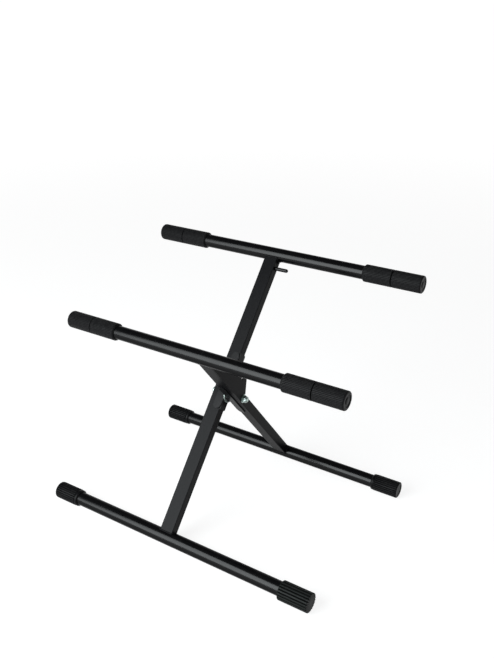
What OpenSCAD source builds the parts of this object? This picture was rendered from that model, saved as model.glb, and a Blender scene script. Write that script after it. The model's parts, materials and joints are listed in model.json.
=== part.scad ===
// Folding stand that carries an amplifier tilted back: two crossed legs on one pivot bolt.
// X runs along the bars, the front foot lies towards -Y, Z is up and the floor is at zero.

/* [Crossed legs] */
// Width of the rectangular leg tube, along X
leg_width = 30; // [24:0.5:36]
// Depth of the rectangular leg tube
leg_depth = 20; // [17:0.5:24]
// Wall of the leg tube
leg_wall = 1.2; // [1:0.1:1.4]
// Outer corner radius of the leg tube
leg_corner = 1.5; // [1.5:0.25:3.5]
// Lean of the post from the floor, in degrees
post_lean = 49.2; // [44:0.2:54]
// Lean of the brace from the floor, in degrees
brace_lean = 51.2; // [47:0.2:55]
// Post, from the front foot's axis up to the pivot
post_lower = 315.5; // [290:0.5:340]
// Post, from the pivot up to the backrest's axis
post_upper = 320; // [300:0.5:345]
// Brace, from the pivot up to the support bar's axis
brace_upper = 176; // [165:0.5:195]
// Space between the facing sides of the two legs
leg_gap = 8.4; // [7.4:0.2:10]

/* [Round tubes] */
// Outer diameter of the feet and bars
tube_od = 28.6; // [24:0.2:30]
// Wall of the round tube
tube_wall = 1.5; // [1:0.25:2.5]
// Length of a foot over its caps
foot_span = 631; // [560:1:700]
// Length of a bar over its grips
bar_span = 642; // [560:1:700]

/* [Rubber caps and grips] */
// Rubber round the tube, from the tube's surface to the crest of a rib
rubber_wall = 3.7; // [3:0.1:5]
// Length of a cap
cap_length = 62; // [45:1:75]
// Rubber that closes the end of a cap
cap_end = 4; // [3:0.25:6]
// Ribs round a foot cap
cap_ribs = 24; // [16:2:28]
// Depth of the grooves of a foot cap
cap_rib_depth = 0.9; // [0.5:0.1:1.2]
// Length of the open sleeve behind a grip's cap
sleeve_length = 62; // [45:1:75]
// Open groove between the sleeve and the cap
grip_groove = 1.5; // [1:0.25:3]
// Ribs round a grip
grip_ribs = 36; // [28:2:40]
// Depth of the grooves of a grip
grip_rib_depth = 0.6; // [0.4:0.1:0.9]
// Rounding of a cap's closed end
cap_round = 2.5; // [1.5:0.25:3]
// Chamfer of the open end
cap_chamfer = 2.2; // [1:0.2:2.6]
// Smooth collar at a foot cap's open end
cap_collar = 6.5; // [4:0.5:10]
// Width of the groove between the collar and the ribs
collar_groove = 1; // [0.6:0.2:2]
// Depth of that groove
collar_groove_depth = 1.4; // [1.3:0.1:1.8]
// Diameter of the round recess in a grip's end face
recess_d = 24; // [20:1:26]
// Depth of that recess
recess_depth = 1; // [0.4:0.1:1.5]
// Diameter of the flat boss that stands in the recess
recess_boss = 13; // [8:1:16]

/* [Levelling cap] */
// Diameter of the levelling cap over its ribs
level_od = 38; // [37:0.2:39.2]
// How far its middle lies in front of the tube's axis
level_throw = 2.2; // [1.4:0.1:2.4]
// Ribs round the levelling cap
level_ribs = 20; // [16:2:24]
// Depth of its grooves
level_rib_depth = 1.2; // [0.8:0.1:1.4]
// Chamfer of its two ends
level_chamfer = 0.8; // [0.5:0.1:1.2]

/* [Hinge plates] */
// Sheet of the two angle plates
plate_t = 2.2; // [1.6:0.1:2.6]
// Width of the tongue that wraps round the leg
plate_tongue = 19.5; // [15:0.5:22]
// Corner radius of the plate's side leaf
plate_corner = 4; // [2:0.5:6]
// Post plate, below the pivot
post_plate_low = 37; // [32:1:45]
// Post plate, above the pivot
post_plate_high = 88; // [60:1:100]
// Brace plate, below the pivot
brace_plate_low = 61; // [50:1:75]
// Brace plate, above the pivot
brace_plate_high = 62; // [50:1:75]
// Stop tab, from the pivot to its near edge along the post
stop_near = 21; // [20:0.5:24]
// Stop tab, from the pivot to its far edge along the post
stop_far = 33; // [30:0.5:38]
// Width of the stop tab over the post's back
stop_width = 24; // [18:0.5:28]

/* [Side gusset] */
// Sheet of the gusset on the brace's outer side
gusset_t = 2.5; // [2:0.25:4]
// Reach of its wide end behind the brace's centre line
gusset_reach = 36; // [33:0.5:40]
// Height of that corner above the pivot
gusset_rise = 27.5; // [24:0.5:32]
// Rounding of that corner
gusset_round = 12; // [8:0.5:16]
// Small round hole through the gusset
lug_hole_d = 5.5; // [4:0.25:7]
// Hole, behind the brace's centre line
lug_hole_back = 27.2; // [22:0.2:28]
// Hole, above the pivot along the brace
lug_hole_up = 43; // [40:0.5:50]

/* [Pivot] */
// Diameter of the pivot bolt
bolt_d = 8; // [6:0.5:10]
// Radial clearance of the bolt in its holes
bolt_play = 0.08; // [0.03:0.01:0.1]
// Diameter of the washers under the head and the nut
washer_d = 18; // [16:0.5:20]
// Thickness of these washers
washer_t = 1.6; // [1:0.1:2.5]
// Diameter of the wide washer between the legs
centre_washer_d = 37; // [30:0.5:37]
// Diameter of the black spacer beside it
spacer_d = 31; // [24:0.5:34]
// Outer diameter of the sleeves inside the legs
crush_od = 14; // [13:0.5:16]
// Nut, across its flats
nut_flats = 13; // [12:0.5:16]
// Height of the nut's hexagon
nut_height = 6.4; // [5:0.2:8]
// Height of the nut's locking collar
nut_collar = 1.6; // [1:0.1:2.5]
// Diameter of the bolt's round head
head_d = 14; // [13:0.5:18]
// Height of the bolt's round head
head_height = 4.4; // [3:0.1:6]
// Hexagon socket in the head, across its flats
socket_flats = 5; // [4:0.5:6]
// Depth of that socket
socket_depth = 2.6; // [1.5:0.1:2.8]

/* [Cable peg and corner web] */
// Diameter of the peg
peg_d = 8; // [6:0.5:10]
// Length of the peg beyond the post
peg_length = 31; // [20:1:45]
// Peg below the backrest's axis, along the post
peg_drop = 32; // [28:0.5:50]
// Radius of the hollow web between post and backrest
web_radius = 11; // [6:0.5:13]
// Sheet of that web
web_t = 3; // [2:0.25:5]

/* [Hidden] */

// Clearances: a welded or pushed-on fit, a turning face, and the overrun of every cut
seat_fit = 0.05;
running_gap = 0.1;
stop_clearance = 0.1;
overrun = 1;

// Facets of round parts and steps of a rounded outline corner
fine = 96;
corner_steps = 8;

// Shares of one rib's pitch that its crest and each of its flanks take
crest_share = 0.52;
flank_share = 0.1;
// Share of the dome's radius that the bolt head keeps at its top
head_top_share = 0.45;
// Share of its width over the flats that the nut's round end faces keep
nut_face_share = 0.95;

tube_r = tube_od / 2;
cap_r = tube_r + rubber_wall;
level_r = level_od / 2;
hole_d = bolt_d + 2 * bolt_play;
brace_lower = post_lower * sin(post_lean) / sin(brace_lean);
// Angle that opens between the two legs
opening = 180 - post_lean - brace_lean;

// The levelling cap stands level with the other three, so its middle is raised by this much
level_rise = level_r - cap_r;

// Places in the side view, with the whole stand centred on Y
front_extent = post_lower * cos(post_lean) + level_throw + level_r;
rear_extent = post_upper * cos(post_lean) + cap_r;
pivot_y = (front_extent - rear_extent) / 2;
pivot_z = cap_r + post_lower * sin(post_lean);
foot_half = foot_span / 2;
bar_half = bar_span / 2;
leg_offset = (leg_gap + leg_width) / 2;

// Stack between the legs, from the post plate to the brace plate
stack_half = leg_gap / 2 - plate_t;

// Outer faces of the legs along X
leg_outer = leg_gap / 2 + leg_width;

steel_black = [0.10, 0.10, 0.11];
rubber_black = [0.17, 0.17, 0.18];
zinc = [0.78, 0.79, 0.78];
nylon_black = [0.06, 0.06, 0.06];
nylon_blue = [0.75, 0.78, 0.80];

// Frames: the origin moves to the pivot, and Z runs up the leg with Y behind it
module on_post() {
    translate([0, pivot_y, pivot_z]) rotate([post_lean - 90, 0, 0]) children();
}

module on_brace() {
    translate([0, pivot_y, pivot_z]) rotate([90 - brace_lean, 0, 0]) children();
}

module post_centre() {
    on_post() translate([-leg_offset, 0, 0]) children();
}

module brace_centre() {
    on_brace() translate([leg_offset, 0, 0]) children();
}

// Middles of the four cross tubes
module at_front_foot() {
    on_post() translate([0, 0, -post_lower]) rotate([90 - post_lean, 0, 0]) children();
}

module at_rear_foot() {
    on_brace() translate([0, 0, -brace_lower]) rotate([brace_lean - 90, 0, 0]) children();
}

module at_backrest() {
    on_post() translate([0, 0, post_upper]) rotate([90 - post_lean, 0, 0]) children();
}

module at_support_bar() {
    on_brace() translate([0, 0, brace_upper]) rotate([brace_lean - 90, 0, 0]) children();
}

// A cylinder along X, from x0 to x1
module rod(d, x0, x1) {
    translate([x0, 0, 0]) rotate([0, 90, 0]) cylinder(d = d, h = x1 - x0, $fn = fine);
}

// A ring along X, from x0 to x1
module ring(od, id, x0, x1) {
    difference() {
        rod(od, x0, x1);
        rod(id, x0 - overrun, x1 + overrun);
    }
}

// An outline in the side view, pulled along X from x0 to x1
module side_sheet(x0, x1) {
    translate([x0, 0, 0]) rotate([90, 0, 90]) linear_extrude(x1 - x0) children();
}

// Points of the arc of radius r that rounds the corner q of an outline p, q, s
function unit(v) = v / norm(v);
function rounded_corner(p, q, s, r) =
    let (
        u = unit(p - q),
        w = unit(s - q),
        half = acos(u * w) / 2,
        c = q + unit(u + w) * r / sin(half),
        turn = sign(u[0] * w[1] - u[1] * w[0]),
        a0 = atan2(-turn * -u[0], -turn * u[1]) + 180,
        sweep = turn * -(180 - 2 * half)
    )
    [for (i = [0:corner_steps])
        let (a = a0 + sweep * i / corner_steps)
        c + r * [cos(a), sin(a)]];

module rounded_box_outline(w, d, r) {
    square([w - 2 * r, d], center = true);
    square([w, d - 2 * r], center = true);
    for (x = [-1, 1], y = [-1, 1])
        translate([x * (w / 2 - r), y * (d / 2 - r)]) circle(r = r, $fn = fine);
}

// Ribbed round outline: each rib has a flat crest, two flanks and a groove
function ribbed_outline(od, ribs, depth) =
    let (
        pitch = 360 / ribs,
        crest = pitch * crest_share / 2,
        flank = pitch * flank_share,
        r = od / 2 / cos(crest)
    )
    [for (i = [0:ribs - 1])
        for (p = [[-crest, r], [crest, r], [crest + flank, r - depth], [pitch - crest - flank, r - depth]])
            let (a = i * pitch + p[0])
            p[1] * [cos(a), sin(a)]];

// Half section of a cap or sleeve: chamfered where it opens, rounded or chamfered at its far end
function envelope(r, length, open_chamfer, far_round) =
    concat(
        [[0, 0], [r - open_chamfer, 0], [r, open_chamfer]],
        [for (i = [0:corner_steps])
            let (a = 90 * i / corner_steps)
            [r - far_round + far_round * cos(a), length - far_round + far_round * sin(a)]],
        [[0, length]]
    );

// Ribbed rubber body along X, with its open end at zero; the ribs start behind the plain length
module ribbed_body(od, ribs, depth, length, open_chamfer, far_round, plain = 0) {
    rotate([0, 90, 0]) intersection() {
        union() {
            translate([0, 0, -overrun]) linear_extrude(length + 2 * overrun)
                polygon(ribbed_outline(od, ribs, depth));
            if (plain > 0)
                translate([0, 0, -overrun]) cylinder(r = (od - depth) / 2, h = plain + overrun, $fn = fine);
        }
        rotate_extrude($fn = fine) polygon(envelope(od / 2 + seat_fit * 2, length, open_chamfer, far_round));
    }
}

// Closed cap for a tube's end, along X with its open end at zero
module closed_cap(ribs, depth, plain = 0) {
    difference() {
        ribbed_body(2 * cap_r, ribs, depth, cap_length, cap_chamfer, cap_round, plain);
        rod(tube_od + 2 * seat_fit, -overrun, cap_length - cap_end);
    }
}

module foot_cap() {
    color(rubber_black) translate([foot_half - cap_length, 0, 0]) difference() {
        closed_cap(cap_ribs, cap_rib_depth, cap_collar);
        ring(2 * cap_r + overrun, 2 * (cap_r - collar_groove_depth), cap_collar, cap_collar + collar_groove);
    }
}

module grip_cap() {
    color(rubber_black) translate([bar_half - cap_length, 0, 0]) difference() {
        closed_cap(grip_ribs, grip_rib_depth);
        ring(recess_d, recess_boss, cap_length - recess_depth, cap_length + overrun);
    }
}

module grip_sleeve() {
    color(rubber_black) translate([bar_half - cap_length - grip_groove - sleeve_length, 0, 0])
        difference() {
            ribbed_body(2 * cap_r, grip_ribs, grip_rib_depth, sleeve_length, cap_chamfer, cap_round / 2);
            rod(tube_od + 2 * seat_fit, -overrun, sleeve_length + overrun);
        }
}

module round_tube(span) {
    color(steel_black) ring(tube_od, tube_od - 2 * tube_wall, cap_end - span / 2, span / 2 - cap_end);
}

// Rectangular tube along Z between the axes of two cross tubes, coped to them and drilled at zero
module leg(low, high) {
    color(steel_black) difference() {
        translate([0, 0, -low]) linear_extrude(low + high)
            rounded_box_outline(leg_width, leg_depth, leg_corner);
        translate([0, 0, -low - overrun]) linear_extrude(low + high + 2 * overrun)
            rounded_box_outline(leg_width - 2 * leg_wall, leg_depth - 2 * leg_wall, leg_corner - leg_wall);
        for (z = [-low, high])
            translate([0, 0, z]) rod(tube_od + 2 * seat_fit, -leg_width, leg_width);
        rod(hole_d, -leg_width, leg_width);
    }
}

module crush_sleeve() {
    inside = leg_width / 2 - leg_wall;
    color(zinc) ring(crush_od, hole_d, -inside, inside);
}

// Angle plate on a leg: the side leaf lies against the facing side (+X), the tongue wraps round the front
module angle_plate(low, high) {
    side = leg_width / 2;
    front = -leg_depth / 2;
    tongue_left = side + plate_t - plate_tongue;
    tongue_r = (side - tongue_left) / 2;
    length = low + high;
    difference() {
        union() {
            // side leaf with rounded back corners
            side_sheet(side, side + plate_t) difference() {
                translate([front, -low]) square([leg_depth, length]);
                for (z = [-low, high])
                    translate([-front, z]) mirror([0, z > 0 ? 1 : 0]) difference() {
                        translate([-plate_corner, -overrun]) square(plate_corner + overrun);
                        translate([-plate_corner, plate_corner]) circle(r = plate_corner, $fn = fine);
                    }
            }
            // tongue with round ends
            translate([side - tongue_r, front, -low + tongue_r]) rotate([90, 0, 0]) linear_extrude(plate_t) {
                translate([-tongue_r, 0]) square([2 * tongue_r, length - 2 * tongue_r]);
                circle(r = tongue_r, $fn = fine);
                translate([0, length - 2 * tongue_r]) circle(r = tongue_r, $fn = fine);
            }
            // the bend between them
            translate([side, front, -low + tongue_r]) intersection() {
                cylinder(r = plate_t, h = length - 2 * tongue_r, $fn = fine);
                translate([0, -plate_t, 0]) cube([plate_t, plate_t, length - 2 * tongue_r]);
            }
        }
        rod(hole_d, side - overrun, side + plate_t + overrun);
    }
}

// Ear of the brace plate and the tab bent from it, which meets the post's back when the stand is open
module stop_ear() {
    back = leg_depth / 2 + stop_clearance;
    ear_left = leg_gap / 2 - plate_t;
    on_post() {
        side_sheet(ear_left, ear_left + plate_t) difference() {
            translate([0, plate_corner]) square([back + plate_t, stop_far - plate_corner]);
            translate([0, stop_far]) mirror([0, 1]) difference() {
                translate([-overrun, -overrun]) square(plate_corner + overrun);
                translate([plate_corner, plate_corner]) circle(r = plate_corner, $fn = fine);
            }
        }
        translate([ear_left + plate_t - stop_width, back, stop_near])
            cube([stop_width, plate_t, stop_far - stop_near]);
    }
}

// Gusset outline in the brace's side view: [behind the centre line, above the pivot]
module gusset_outline() {
    inset = leg_depth / 2 - seat_fit;
    relief = washer_d / 2 + running_gap + overrun;
    foot = washer_d / 2 * [cos(19), sin(19)];
    corner = [gusset_reach, gusset_rise];
    top = [tube_r - overrun, brace_upper];
    difference() {
        polygon(concat(
            [[-inset, 0], [0, 0], foot],
            rounded_corner(foot, corner, top, gusset_round),
            [top, [-inset, brace_upper]]
        ));
        circle(r = relief, $fn = fine);
        translate([0, brace_upper]) circle(r = tube_r + seat_fit, $fn = fine);
        translate([lug_hole_back, lug_hole_up]) circle(d = lug_hole_d, $fn = fine);
    }
}

module front_foot_tube() { at_front_foot() round_tube(foot_span); }
module rear_foot_tube() { at_rear_foot() round_tube(foot_span); }
module backrest_tube() { at_backrest() round_tube(bar_span); }
module support_bar_tube() { at_support_bar() round_tube(bar_span); }

module post() { post_centre() leg(post_lower, post_upper); }
module brace() { brace_centre() leg(brace_lower, brace_upper); }
module post_crush_sleeve() { post_centre() crush_sleeve(); }
module brace_crush_sleeve() { brace_centre() crush_sleeve(); }

module post_hinge_plate() {
    color(steel_black) post_centre() angle_plate(post_plate_low, post_plate_high);
}

module brace_hinge_plate() {
    color(steel_black) difference() {
        union() {
            brace_centre() mirror([1, 0, 0]) angle_plate(brace_plate_low, brace_plate_high);
            stop_ear();
        }
        on_brace() rod(hole_d, 0, leg_gap);
    }
}

module side_gusset() {
    color(steel_black) on_brace() side_sheet(leg_outer, leg_outer + gusset_t) gusset_outline();
}

// Web with a hollow edge in the corner between the post and the backrest
module post_corner_web() {
    color(steel_black) post_centre()
        translate([leg_width / 2, web_t / 2, post_upper - tube_r - web_radius]) rotate([90, 0, 0])
            linear_extrude(web_t) difference() {
                square(web_radius);
                translate([web_radius, 0]) circle(r = web_radius - seat_fit, $fn = fine);
            }
}

module cable_peg() {
    color(steel_black) post_centre() translate([0, 0, post_upper - peg_drop]) {
        rod(peg_d, leg_width / 2, leg_width / 2 + peg_length - peg_d / 2);
        translate([leg_width / 2 + peg_length - peg_d / 2, 0, 0]) sphere(d = peg_d, $fn = fine);
    }
}

module front_left_foot_cap() { at_front_foot() mirror([1, 0, 0]) foot_cap(); }
module rear_left_foot_cap() { at_rear_foot() mirror([1, 0, 0]) foot_cap(); }
module rear_right_foot_cap() { at_rear_foot() foot_cap(); }

// Its bore is round the tube's axis and its outside is not, so turning it lifts or lowers the corner
module levelling_cap() {
    color(rubber_black) at_front_foot() translate([foot_half - cap_length, 0, 0]) difference() {
        translate([0, -level_throw, level_rise])
            ribbed_body(level_od, level_ribs, level_rib_depth, cap_length, level_chamfer, level_chamfer);
        rod(tube_od + 2 * seat_fit, -overrun, cap_length - cap_end + running_gap * 3);
    }
}

module backrest_left_sleeve() { at_backrest() mirror([1, 0, 0]) grip_sleeve(); }
module backrest_left_cap() { at_backrest() mirror([1, 0, 0]) grip_cap(); }
module backrest_right_sleeve() { at_backrest() grip_sleeve(); }
module backrest_right_cap() { at_backrest() grip_cap(); }
module support_left_sleeve() { at_support_bar() mirror([1, 0, 0]) grip_sleeve(); }
module support_left_cap() { at_support_bar() mirror([1, 0, 0]) grip_cap(); }
module support_right_sleeve() { at_support_bar() grip_sleeve(); }
module support_right_cap() { at_support_bar() grip_cap(); }

module head_washer() { color(zinc) on_post() ring(washer_d, hole_d, -leg_outer - washer_t, -leg_outer); }
module centre_washer() { color(zinc) on_post() ring(centre_washer_d, hole_d, -stack_half, 0); }
module pivot_spacer() { color(nylon_black) on_brace() ring(spacer_d, hole_d, running_gap, stack_half); }
module nut_washer() { color(zinc) on_brace() ring(washer_d, hole_d, leg_outer, leg_outer + washer_t); }

// Hexagon along X, with its flats this far apart
module hex(flats, x0, x1) {
    translate([x0, 0, 0]) rotate([0, 90, 0]) cylinder(d = flats / cos(30), h = x1 - x0, $fn = 6);
}

// The same hexagon with its six corners chamfered at both ends
module chamfered_hex(flats, x0, x1) {
    face = flats / 2 * nut_face_share;
    reach = flats / 2 / cos(30) + overrun;
    rise = (reach - face) * tan(30);
    height = x1 - x0;
    intersection() {
        hex(flats, x0, x1);
        translate([x0, 0, 0]) rotate([0, 90, 0]) rotate_extrude($fn = fine)
            polygon([[0, 0], [face, 0], [reach, rise], [reach, height - rise], [face, height], [0, height]]);
    }
}

module lock_nut() {
    x0 = leg_outer + washer_t;
    collar_d = nut_flats - nut_collar / 2;
    color(zinc) on_brace() difference() {
        union() {
            chamfered_hex(nut_flats, x0, x0 + nut_height);
            rod(collar_d, x0, x0 + nut_height + nut_collar);
        }
        rod(hole_d, x0 - overrun, x0 + nut_height + nut_collar + overrun);
        rod((collar_d + hole_d) / 2, x0 + nut_height, x0 + nut_height + nut_collar + overrun);
    }
}

module nut_insert() {
    x0 = leg_outer + washer_t + nut_height;
    insert_d = (nut_flats - nut_collar / 2 + hole_d) / 2;
    color(nylon_blue) on_brace() ring(insert_d, hole_d, x0, x0 + nut_collar - seat_fit);
}

// Button-headed bolt: the head lies on the post's outer side and the nut on the brace's
module pivot_bolt() {
    under_head = -leg_outer - washer_t - running_gap;
    tip = leg_outer + washer_t + nut_height + nut_collar + washer_t;
    color(zinc) on_brace() difference() {
        union() {
            rod(bolt_d, under_head, tip);
            translate([under_head, 0, 0]) rotate([0, -90, 0]) rotate_extrude($fn = fine)
                polygon(concat(
                    [[0, -overrun], [bolt_d / 2, -overrun], [bolt_d / 2, 0]],
                    [for (i = [0:corner_steps])
                        let (a = 90 * i / corner_steps, top = head_d / 2 * head_top_share)
                        [top + (head_d / 2 - top) * cos(a), head_height * sin(a)]],
                    [[0, head_height]]
                ));
        }
        hex(socket_flats, under_head - head_height - overrun, under_head - head_height + socket_depth);
    }
}

front_foot_tube();
post();
backrest_tube();
post_hinge_plate();
post_corner_web();
cable_peg();
post_crush_sleeve();
head_washer();
centre_washer();
front_left_foot_cap();
backrest_left_sleeve();
backrest_left_cap();
backrest_right_sleeve();
backrest_right_cap();
levelling_cap();
rear_foot_tube();
brace();
support_bar_tube();
brace_hinge_plate();
side_gusset();
brace_crush_sleeve();
pivot_spacer();
nut_washer();
lock_nut();
nut_insert();
pivot_bolt();
rear_left_foot_cap();
rear_right_foot_cap();
support_left_sleeve();
support_left_cap();
support_right_sleeve();
support_right_cap();
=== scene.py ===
"""Looks of the folding amplifier stand: rubber, welds, plates, finishes and the stage, on its CAD frame."""
import contextlib
import json
import math

import bmesh
import bpy
from mathutils import Matrix, Vector


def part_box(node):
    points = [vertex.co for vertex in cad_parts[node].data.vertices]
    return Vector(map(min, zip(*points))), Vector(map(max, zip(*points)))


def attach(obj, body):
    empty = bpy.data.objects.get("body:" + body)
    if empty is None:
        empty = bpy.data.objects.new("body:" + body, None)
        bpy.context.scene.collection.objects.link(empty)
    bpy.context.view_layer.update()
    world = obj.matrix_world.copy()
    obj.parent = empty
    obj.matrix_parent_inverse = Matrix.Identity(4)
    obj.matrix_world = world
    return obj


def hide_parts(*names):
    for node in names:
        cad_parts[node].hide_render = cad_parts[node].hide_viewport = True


bl_info = {
    "name": "Folding amplifier stand",
    "version": (1, 0, 0),
    "blender": (4, 5, 0),
    "location": "3D View > Sidebar > Amp stand",
    "description": "Dresses the stand's CAD frame with rubber caps, grips, weld beads and black powder coat",
    "category": "Object",
}

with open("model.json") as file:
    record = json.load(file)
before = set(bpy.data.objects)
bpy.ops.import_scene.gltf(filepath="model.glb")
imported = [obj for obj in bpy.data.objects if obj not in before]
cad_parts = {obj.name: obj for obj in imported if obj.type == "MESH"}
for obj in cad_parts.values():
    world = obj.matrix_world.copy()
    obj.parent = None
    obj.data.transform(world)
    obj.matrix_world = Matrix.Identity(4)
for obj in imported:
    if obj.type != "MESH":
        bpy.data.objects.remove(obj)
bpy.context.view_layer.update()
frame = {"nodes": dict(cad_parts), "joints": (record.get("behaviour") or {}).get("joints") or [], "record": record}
BODY_OF = {node: body for body, nodes in frame["record"]["behaviour"]["bodies"].items() for node in nodes}
MM = 0.001
# Depth and corner radius of the rectangular leg tubes
LEG_DEPTH, LEG_CORNER = 20 * MM, 1.5 * MM
# Room between a piece of rubber and the tube in it
BORE_ROOM = 0.05 * MM
# Small edges: of the rubber's lips, of the recess in an end face, and of turned steel
LIP, FACE_EDGE, TURNED_ROUND = 0.3 * MM, 0.35 * MM, 0.2 * MM
# Flat crest of a rib and its two flanks, as shares of the ribs' pitch
CREST_SHARE, FOOT_FLANK_SHARE, GRIP_FLANK_SHARE = 0.46, 0.15, 0.16
# How far a weld bead's middle stands off the seam, as a share of its width
STAND_OFF_SHARE = 0.12
# The thread starts this far past the nut, and is this much shorter than the bolt's free end
THREAD_START, THREAD_SHORTER = 0.1 * MM, 0.5 * MM
# Points of a CAD mesh that are joined, slivers that are dissolved, and the angles, in degrees, up to which
# faces count as one flat face and past which an edge is rounded
JOIN, SLIVER, FLAT_ANGLE, EDGE_ANGLE = 0.003 * MM, 0.002 * MM, 0.6, 38
# Colours under the coats' scuffs, of dust on coat and rubber, of painted shade in the rubber's grooves, and of
# scuffed zinc
COAT_SCUFF, COAT_DUST = (0.10, 0.10, 0.105, 1.0), (0.16, 0.155, 0.15, 1.0)
RUBBER_DUST, GROOVE_PAINTED_SHADE = (0.10, 0.10, 0.097, 1.0), (0.001, 0.001, 0.001, 1.0)
ZINC_SCUFF, WHITE = (0.35, 0.35, 0.34, 1.0), (1.0, 1.0, 1.0, 1.0)
# Blue and straw cast of zinc plate, as shares of its colour
ZINC_CASTS = (0.90, 0.98, 1.04), (1.04, 1.0, 0.88)
NATURAL_NYLON, BLACK_NYLON, NYLON_ROUGHNESS = (0.62, 0.64, 0.66), (0.015, 0.015, 0.016), 0.45
# Least share of its reflection that a coat or rubber keeps where it turns away from the viewer
LEAST_GLEAM = 0.12
# Stage, in metres: the floor's disc and how far it lies under the feet, what the lamps face, and each
# lamp's width, height and place
FLOOR_RADIUS, FLOOR_SIDES, FLOOR_DROP = 60.0, 64, 0.2 * MM
LAMP_TARGET = Vector((0.0, 0.0, 0.30))
KEY_SIZE, KEY_PLACE = (1.62, 2.25), (-0.84, -1.93, 1.22)
FILL_SIZE, FILL_PLACE = (1.2, 1.2), (2.2, -0.2, 1.0)
# Distances from the stand between which the floor's glow changes from near to far
NEAR_FLOOR, FAR_FLOOR = 1.0, 5.0


# ---- places that come from the frame ----

def middle(node):
    """Middle of a CAD node's box, in metres."""
    low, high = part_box(node)
    return (low + high) / 2


def half_depth(node):
    """Half of a CAD node's height: the radius of a tube that lies along X."""
    low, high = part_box(node)
    return (high.z - low.z) / 2


def length_along(node):
    """A CAD node's length along X."""
    low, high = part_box(node)
    return high.x - low.x


PIVOT = Vector(next(joint for joint in frame["joints"] if joint["name"] == "fold")["pos_m"])


# ---- what a user may change ----

def length(name, description, default, low, high):
    """A length property. The numbers are millimetres."""
    return bpy.props.FloatProperty(name=name, description=description, default=default * MM, min=low * MM,
                                   max=high * MM, subtype="DISTANCE", unit="LENGTH", precision=5)


def colour_choice(name, description, default):
    """A colour property."""
    return bpy.props.FloatVectorProperty(name=name, description=description, default=default,
                                         subtype="COLOR", size=3, min=0, max=1)


def count(name, description, default, low, high):
    """A whole number property."""
    return bpy.props.IntProperty(name=name, description=description, default=default, min=low, max=high)


def strength(name, description, default, high):
    """A light's strength, or a share where the highest is 1."""
    return bpy.props.FloatProperty(name=name, description=description, default=default, min=0, max=high)


def power(name, description, default):
    """A lamp's power, in watts."""
    return bpy.props.FloatProperty(name=name, description=description, default=default, min=0, max=500,
                                   unit="POWER")


class StandFinish(bpy.types.PropertyGroup):
    """Colours and surface of the stand's finishes."""
    tube_colour: colour_choice("Round tubes", "Gloss powder coat of the feet and bars",
                               (0.0022, 0.0022, 0.0027))
    leg_colour: colour_choice("Legs and plates", "Satin powder coat of the legs, hinge plates and gusset",
                              (0.006, 0.006, 0.0068))
    rubber_colour: colour_choice("Rubber", "Foot caps and grips", (0.0038, 0.0038, 0.0045))
    levelling_colour: colour_choice("Levelling rubber", "The greyer rubber of the levelling cap",
                                    (0.0075, 0.0095, 0.0088))
    zinc_colour: colour_choice("Zinc plate", "Bolt, washers and nut", (0.38, 0.45, 0.44))
    peel_grain: length("Orange peel", "Size of the ripples in the powder coat", 1.6, 0.2, 6)


class StandRubber(bpy.types.PropertyGroup):
    """Ribs, lips and edges of the rubber caps and grips."""
    foot_ribs: count("Foot cap ribs", "Ribs round a foot cap", 24, 8, 60)
    grip_ribs: count("Grip ribs", "Ribs round a grip", 36, 8, 80)
    level_ribs: count("Levelling cap ribs", "Ribs round the levelling cap", 20, 8, 60)
    foot_depth: length("Foot groove", "Depth of the grooves of a foot cap", 0.9, 0, 2)
    grip_depth: length("Grip groove", "Depth of the grooves of a grip", 0.6, 0, 2)
    level_depth: length("Levelling groove", "Depth of the levelling cap's grooves", 1.2, 0, 2)
    end_round: length("End rounding", "Rounding of a cap's closed end", 2.5, 0.2, 3.4)
    open_chamfer: length("Open chamfer", "Slope at the open end, down to the tube", 2.2, 0.2, 3.2)
    seam_chamfer: length("Seam edges", "Edges where a grip's cap meets its sleeve", 0.8, 0.2, 2)
    level_chamfer: length("Levelling edges", "Edges of the levelling cap's two ends", 0.8, 0.2, 2)
    end_wall: length("End wall", "Rubber that closes a cap", 4, 2, 8)
    level_wall: length("Levelling end wall", "Rubber that closes the levelling cap", 3.7, 2, 8)
    collar_width: length("Collar width", "Smooth collar at a foot cap's open end", 6.5, 3, 12)
    collar_groove: length("Collar groove", "Width of the groove between collar and ribs", 1, 0.4, 3)
    collar_depth: length("Collar groove depth", "Depth of the collar's groove below the ribs", 1.4, 1, 2.5)
    recess_radius: length("Recess radius", "Radius of the round recess in an end face", 12, 9, 13)
    boss_radius: length("Boss radius", "Radius of the flat boss in a grip's end", 6.5, 2, 8)
    recess_depth: length("Recess depth", "Depth of the recess in a grip's end", 1, 0, 2)
    foot_recess: length("Foot recess depth", "Depth of the recess in a foot cap's end", 0.8, 0, 2)


class StandSteel(bpy.types.PropertyGroup):
    """Weld beads, edges and thread of the steel parts."""
    bead_width: length("Bead width", "Width of a weld bead", 3.2, 1, 6)
    ripple_pitch: length("Ripple pitch", "Distance between a bead's ripples", 1.5, 0.5, 4)
    ripple_share: strength("Ripple depth", "Depth of a ripple, as a share of the bead's radius", 0.16, 0.6)
    edge_round: length("Edge rounding", "Rounding of the stamped plates' edges", 0.3, 0, 1)
    thread_pitch: length("Thread pitch", "Pitch of the bolt's thread", 1.25, 0.5, 2)
    thread_radius: length("Thread radius", "Middle of the thread's ridge", 3.75, 2, 5)
    thread_ridge: length("Thread ridge", "Radius of the thread's ridge", 0.32, 0.1, 0.6)


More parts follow.
